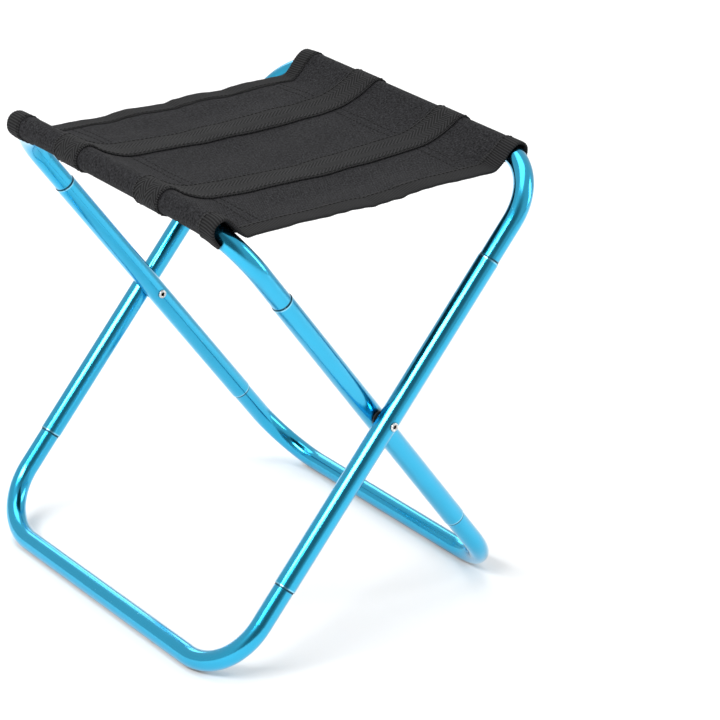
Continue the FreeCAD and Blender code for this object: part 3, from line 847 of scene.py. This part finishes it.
class STOOL_OT_stage(Operator):
    """Lay the pale floor, hang the studio lights and set up the camera"""

    bl_idname = "stool.stage"
    bl_label = "Stage"

    CAMERA_PLACE = Vector((-0.88174, -1.13069, 0.77570))
    CAMERA_YAW = math.radians(-40.27)
    CAMERA_PITCH = math.radians(-24.21)
    CAMERA_ROLL = math.radians(3.19)
    CAMERA_LENS = 136.77
    FLOOR_REACH = 6.0
    DARK_TOWARDS = Vector((-0.60, -0.66, 0.45))
    DARK_SPAN = (0.66, 0.97)
    SKY_LEVELS = (0.92, 0.26)
    SKY_STRENGTH = 0.8
    AIM = Vector((0, 0, 0.15))

    # Each light's name, place, size and power.
    LIGHTS = (
        ("overhead", (-0.1, 0.3, 2.0), (1.3, 1.3), 12.0),
        ("left", (-1.63, -0.33, 1.58), (1.3, 0.42), 36.0),
        ("right", (1.7, -1.1, 0.9), (0.5, 1.3), 11.0),
        ("back", (0.9, 2.0, 1.3), (1.5, 0.9), 10.0),
    )

    def execute(self, context):
        scene = context.scene
        mesh = bpy.data.meshes.new("floor")
        reach = self.FLOOR_REACH
        corners = [(-reach, -reach, 0), (reach, -reach, 0), (reach, reach, 0), (-reach, reach, 0)]
        mesh.from_pydata(corners, [], [(0, 1, 2, 3)])
        add_object("floor", mesh, studio_floor(finish_settings(context)))
        self.add_camera(scene)
        self.add_sky(scene)
        self.add_lights(scene)
        scene.view_settings.view_transform = "Standard"
        return {"FINISHED"}

    def add_camera(self, scene):
        data = bpy.data.cameras.new("camera")
        data.lens = self.CAMERA_LENS
        data.sensor_width = 36.0
        data.clip_start = 0.05
        camera = bpy.data.objects.new("camera", data)
        scene.collection.objects.link(camera)
        yaw, pitch, roll = self.CAMERA_YAW, self.CAMERA_PITCH, self.CAMERA_ROLL
        ahead = Vector(
            (-math.sin(yaw) * math.cos(pitch), math.cos(yaw) * math.cos(pitch), math.sin(pitch))
        )
        right = ahead.cross(Vector((0, 0, 1))).normalized()
        above = right.cross(ahead)
        turned = right * math.cos(roll) + above * math.sin(roll)
        above = above * math.cos(roll) - right * math.sin(roll)
        turn = Matrix((turned, above, -ahead)).transposed()
        camera.matrix_world = Matrix.Translation(self.CAMERA_PLACE) @ turn.to_4x4()
        scene.camera = camera

    def add_sky(self, scene):
        """Even white all round, with the darker part of the studio behind the camera."""
        make = Maker(bpy.data.worlds.new("studio"))
        direction = make.node("ShaderNodeTexCoord", out="Generated")
        behind = self.DARK_TOWARDS.normalized()
        facing = make.node(
            "ShaderNodeVectorMath", {0: direction, 1: behind}, out="Value", operation="DOT_PRODUCT"
        )
        level = make.spread(facing, *self.DARK_SPAN, *self.SKY_LEVELS)
        sky = make.node("ShaderNodeBackground", {"Color": level, "Strength": self.SKY_STRENGTH})
        make.node("ShaderNodeOutputWorld", {"Surface": sky})
        scene.world = make.owner

    def add_lights(self, scene):
        for name, place, size, power in self.LIGHTS:
            data = bpy.data.lights.new(name, "AREA")
            data.shape = "RECTANGLE"
            data.size, data.size_y = size
            data.energy = power
            light = bpy.data.objects.new(name, data)
            light.location = place
            light.rotation_euler = (Vector(place) - self.AIM).to_track_quat("Z", "Y").to_euler()
            scene.collection.objects.link(light)


class STOOL_OT_metalwork(Operator):
    """Give the tubes, rivets and washers their finishes"""

    bl_idname = "stool.metalwork"
    bl_label = "Tubes, rivets and washers"

    def execute(self, context):
        finish = finish_settings(context)
        groups = (
            (OUTER_TUBES, blue_anodised(finish, "outer", LEAN)),
            (INNER_TUBES, blue_anodised(finish, "inner", -LEAN)),
            (RIVET_NODES, plated_rivet(finish)),
            (WASHER_NODES, black_nylon()),
        )
        for nodes, material in groups:
            for name in nodes:
                node = frame["nodes"][name]
                node.data.materials.clear()
                node.data.materials.append(material)
        return {"FINISHED"}


class STOOL_OT_cloth(Operator):
    """Make the seat cloth with its two sleeves"""

    bl_idname = "stool.cloth"
    bl_label = "Seat cloth"

    def execute(self, context):
        settings = seat_settings(context)
        surface = SeatSurface(settings)
        inside = np.abs(surface.across) <= CLOTH_EDGE
        grid = surface.grid[:, inside]
        across = surface.across[inside]
        uv = np.stack(np.meshgrid(surface.along, across, indexing="ij"), -1)
        half = settings.cloth / 2
        mesh = shell_mesh("seat_cloth_sewn", grid, half, half, uv)
        cloth = add_object("seat_cloth_sewn", mesh, oxford_cloth(finish_settings(context)))
        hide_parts("seat_cloth")
        blend_seat(cloth)
        return {"FINISHED"}


STRAP_STRAY = 0.35 * MM


def strap_wander(along, side):
    """How far a strap strays from its straight line."""
    return STRAP_STRAY * waves(along, SEEDS["strap"] + side, 3, 60 * MM, 150 * MM)


class STOOL_OT_straps(Operator):
    """Make the two webbing straps"""

    bl_idname = "stool.straps"
    bl_label = "Straps"

    CLEAR = 0.05 * MM
    END_GAP = 1.5 * MM
    STEP = 0.45 * MM
    COLUMNS = 27
    LOOP = 0.14 * MM
    LOOP_PITCH = 1.5 * MM
    CROWN = 0.12 * MM

    def execute(self, context):
        settings = seat_settings(context)
        surface = SeatSurface(settings)
        material = herringbone_webbing(finish_settings(context))
        lift = (settings.cloth + settings.strap) / 2 + self.CLEAR
        along = np.arange(self.END_GAP, surface.along[-1] - self.END_GAP, self.STEP)
        across = np.linspace(-0.5, 0.5, self.COLUMNS) * STRAP_WIDTH
        for side, name in ((-1, "near"), (1, "far")):
            wander = strap_wander(along, side)
            loops = self.LOOP * np.sin(2 * np.pi * along / self.LOOP_PITCH)
            share = across / (STRAP_WIDTH / 2)
            place = side * STRAP_Y + wander[:, None] + across[None] + loops[:, None] * share**9
            crown = self.CROWN * (1 - share**8)[None] * np.ones_like(place)
            grid = surface.at(along[:, None], place, lift)
            uv = np.stack(np.meshgrid(along, across + STRAP_WIDTH / 2, indexing="ij"), -1)
            outside = settings.strap / 2 - self.CROWN + crown
            mesh = shell_mesh(f"strap_{name}", grid, outside, settings.strap / 2, uv)
            strap = add_object(f"strap_{name}", mesh, material)
            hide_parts(f"seat_strap_{name}")
            blend_seat(strap)
        return {"FINISHED"}


def tape_section(settings, count):
    """The tape's path over the cloth's edge: how far past the edge, and how far above it."""
    lift = (settings.cloth + settings.tape) / 2
    flat = np.linspace(-settings.tape_width, 0, count)
    turn = np.linspace(np.pi / 2, -np.pi / 2, count + 1)[1:-1]
    past = np.concatenate([flat, lift * np.cos(turn), flat[::-1]])
    above = np.concatenate([np.full(count, lift), lift * np.sin(turn), np.full(count, -lift)])
    return past, above


class STOOL_OT_bindings(Operator):
    """Make the ribbed tape folded over the near and far edges"""

    bl_idname = "stool.bindings"
    bl_label = "Edge bindings"

    FACE_POINTS = 6
    STEPS_IN_RIB = 4
    EDGE_STRAY = 0.35 * MM
    WIDTH_STRAY = 0.03
    RIB_HEIGHT = 0.09 * MM

    def execute(self, context):
        settings = seat_settings(context)
        surface = SeatSurface(settings)
        material = grosgrain_tape(finish_settings(context), settings.rib)
        past, above = tape_section(settings, self.FACE_POINTS)
        along = np.arange(0.0, surface.along[-1], settings.rib / self.STEPS_IN_RIB)
        steps = np.concatenate([[0], np.cumsum(np.hypot(np.diff(past), np.diff(above)))])
        for side, name in ((-1, "near"), (1, "far")):
            edge_line = waves(along, SEEDS["tape_edge"] + side, 6, 9 * MM, 40 * MM)
            width_line = waves(along, SEEDS["tape_width"] + side, 5, 10 * MM, 30 * MM)
            wave = self.EDGE_STRAY * edge_line
            width = 1 + self.WIDTH_STRAY * width_line
            place = CLOTH_EDGE + wave[:, None] + past[None] * width[:, None]
            grid = surface.at(along[:, None], side * place, above[None])
            rib = self.RIB_HEIGHT * np.sin(2 * np.pi * along / settings.rib)[:, None]
            if side < 0:
                grid = grid[:, ::-1]
            uv = np.stack(np.meshgrid(along, steps, indexing="ij"), -1)
            outside = settings.tape / 2 + rib * np.ones_like(place)
            mesh = shell_mesh(f"binding_{name}", grid, outside, settings.tape / 2, uv)
            tape = add_object(f"binding_{name}", mesh, material)
            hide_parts(f"edge_binding_{name}")
            blend_seat(tape)
        return {"FINISHED"}


class STOOL_OT_stitching(Operator):
    """Sew the sleeves, straps and bindings"""

    bl_idname = "stool.stitching"
    bl_label = "Stitching"

    SEAM_END = 13 * MM
    SEAM_POINTS = 160
    SEAM_INSETS = (0.5 * MM, 6 * MM)
    SEAM_STRAY = 0.2 * MM
    STRAP_INSET = 1.5 * MM
    STRAP_END = 3 * MM
    TAPE_INSET = 1.6 * MM
    TAPE_END = 2 * MM
    TAPE_STRAY = 0.25 * MM

    def execute(self, context):
        settings = seat_settings(context)
        surface = SeatSurface(settings)
        tree = stitch_tree()
        thread = sewing_thread(finish_settings(context))
        half = settings.cloth / 2
        groups = {
            "stitching_seams": self.seam_rows(surface, half),
            "stitching_straps": self.strap_rows(surface, half + settings.strap),
            "stitching_bindings": self.binding_rows(surface, half + settings.tape),
        }
        for name, rows in groups.items():
            piece = sew(name, rows, tree, settings.stitch, thread)
            blend_seat(piece)
        return {"FINISHED"}

    def seam_rows(self, surface, lift):
        """Two rows beside each other along each sleeve's seam, seen from above and below."""
        y = np.linspace(-CLOTH_EDGE + self.SEAM_END, CLOTH_EDGE - self.SEAM_END, self.SEAM_POINTS)
        rows = []
        for seam, inwards in ((surface.right_seam, 1), (surface.left_seam, -1)):
            for inset in self.SEAM_INSETS:
                seed = int(inset / MM) + SEEDS["seam"]
                wander = self.SEAM_STRAY * waves(y, seed, 4, 20 * MM, 70 * MM)
                rows.append(surface.at(seam + inwards * inset + wander, y, lift + ROW_LIFT))
        for hem, inwards in ((HEM, -1), (surface.along[-1] - HEM, 1)):
            for inset in self.SEAM_INSETS:
                rows.append(surface.at(hem + inwards * inset, y, lift + ROW_LIFT))
        return rows

    def strap_rows(self, surface, lift):
        """A row along each edge of each strap."""
        along = np.arange(self.STRAP_END, surface.along[-1] - self.STRAP_END, 1 * MM)
        rows = []
        for side in (-1, 1):
            wander = strap_wander(along, side)
            for edge in (-1, 1):
                place = side * STRAP_Y + wander + edge * (STRAP_WIDTH / 2 - self.STRAP_INSET)
                rows.append(surface.at(along, place, lift + TRIM_ROW_LIFT))
        return rows

    def binding_rows(self, surface, lift):
        """A row along each binding's inner edge, on both faces."""
        along = np.arange(self.TAPE_END, surface.along[-1] - self.TAPE_END, 1 * MM)
        inset = surface.settings.tape_width - self.TAPE_INSET
        rows = []
        for side in (-1, 1):
            line = waves(along, SEEDS["tape_stitch"] + side, 4, 20 * MM, 80 * MM)
            place = CLOTH_EDGE - inset + self.TAPE_STRAY * line
            rows.append(surface.at(along, side * place, lift + TRIM_ROW_LIFT))
            rows.append(surface.at(along, side * place, -lift - TRIM_ROW_LIFT))
        return rows


class STOOL_OT_declare(Operator):
    """Changes nothing in the scene"""

    bl_idname = "stool.declare"
    bl_label = "Declare the sheet"

    def execute(self, context):
        return {"FINISHED"}


class STOOL_PT_sidebar(Panel):
    bl_idname = "STOOL_PT_sidebar"
    bl_label = "Folding stool"
    bl_space_type = "VIEW_3D"
    bl_region_type = "UI"
    bl_category = "Stool"

    def draw(self, context):
        for operator in OPERATORS:
            self.layout.operator(operator.bl_idname)
        for group in (seat_settings(context), finish_settings(context)):
            box = self.layout.box()
            for name in group.__annotations__:
                box.prop(group, name)


OPERATORS = (
    STOOL_OT_stage,
    STOOL_OT_metalwork,
    STOOL_OT_cloth,
    STOOL_OT_straps,
    STOOL_OT_bindings,
    STOOL_OT_stitching,
    STOOL_OT_declare,
)
CLASSES = (StoolSeatSettings, StoolFinishSettings, *OPERATORS, STOOL_PT_sidebar)


def register():
    for item in CLASSES:
        bpy.utils.register_class(item)
    bpy.types.Scene.stool_seat = PointerProperty(type=StoolSeatSettings)
    bpy.types.Scene.stool_finish = PointerProperty(type=StoolFinishSettings)


def unregister():
    del bpy.types.Scene.stool_finish
    del bpy.types.Scene.stool_seat
    for item in reversed(CLASSES):
        bpy.utils.unregister_class(item)


def main():
    register()
    bpy.ops.stool.stage()
    bpy.ops.stool.metalwork()
    bpy.ops.stool.cloth()
    bpy.ops.stool.straps()
    bpy.ops.stool.bindings()
    bpy.ops.stool.stitching()
    bpy.ops.stool.declare()


if __name__ == "__main__":
    main()
